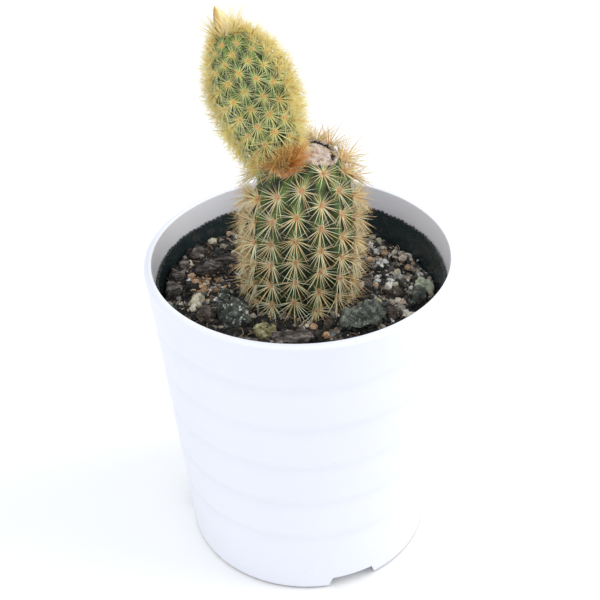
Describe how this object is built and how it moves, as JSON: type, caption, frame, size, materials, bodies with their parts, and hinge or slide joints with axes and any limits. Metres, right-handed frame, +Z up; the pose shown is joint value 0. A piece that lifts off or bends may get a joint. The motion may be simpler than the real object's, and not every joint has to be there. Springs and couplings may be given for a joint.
{
  "type": "potted cactus",
  "caption": "Cut-back columnar cactus with a leaning offset, spined all over, in a nursery pot inside a tapered white cover pot with gritty potting mix.",
  "frame": {"origin": "centre of the cover pot's foot, on the ground", "axes": "+Z up, -Y towards the front, so that the offset leans towards -X"},
  "size_m": [0.1098, 0.1098, 0.2132],
  "materials": {
    "white_plastic": "smooth moulded gloss",
    "black_plastic": "thin satin moulded",
    "potting_mix": "dark fine bark and peat",
    "stem_skin": "green waxy skin",
    "offset_skin": "fresh green waxy skin",
    "crown_paper": "dry papery",
    "spine_cream": "cream horny spines",
    "spine_gold": "golden horny spines",
    "areole_wool": "short felt",
    "scar_cork": "dry corky callus",
    "bark": "weathered bark",
    "grey_stone": "rough stone",
    "brown_stone": "rough stone",
    "green_stone": "rough stone",
    "cream_stone": "rough pumice",
    "tan_pumice": "rough pumice",
    "pink_pumice": "rough pumice"
  },
  "bodies": {
    "root": {"cover_pot": "white_plastic", "nursery_pot": "black_plastic", "potting_mix": "potting_mix", "main_stem": "stem_skin", "offset_stem": "offset_skin", "crown_tuft": "crown_paper", "stone_slate_large": "grey_stone", "stone_grey_small": "brown_stone", "stone_lichen": "cream_stone", "stone_slate_right": "grey_stone", "stone_brown_right": "brown_stone", "stone_brown_left": "brown_stone", "stone_speckled_left": "grey_stone", "stone_speckled_small": "grey_stone", "stone_green_front": "green_stone", "stone_cream_long": "cream_stone", "stone_back_left": "grey_stone", "stone_back_right": "brown_stone", "bark_right": "bark", "bark_left_far": "bark", "bark_left_long": "bark", "bark_left_wall": "bark", "bark_left_wide": "bark", "bark_left_edge": "bark", "bark_left_near": "bark", "bark_front_small": "bark", "bark_front_long": "bark", "bark_front_right": "bark", "bark_back": "bark", "bark_back_right": "bark", "pebble_white_left": "cream_stone", "pebble_orange_far": "tan_pumice", "pebble_orange_middle": "tan_pumice", "pebble_orange_near": "tan_pumice", "pebble_yellow": "green_stone", "pebble_cream_low": "cream_stone", "pebble_cream_high": "cream_stone", "pebble_pink_large": "pink_pumice", "pebble_pink_small": "pink_pumice", "pebble_tan_right": "tan_pumice", "pebble_tan_back": "tan_pumice", "pebble_cream_back": "cream_stone", "pebble_tan_inner": "tan_pumice", "pebble_rosy": "pink_pumice", "pebble_tan_front": "tan_pumice", "pebble_tan_near": "tan_pumice", "pebble_brown_front": "brown_stone", "pebble_back_cream": "cream_stone"}
  },
  "joints": []
}
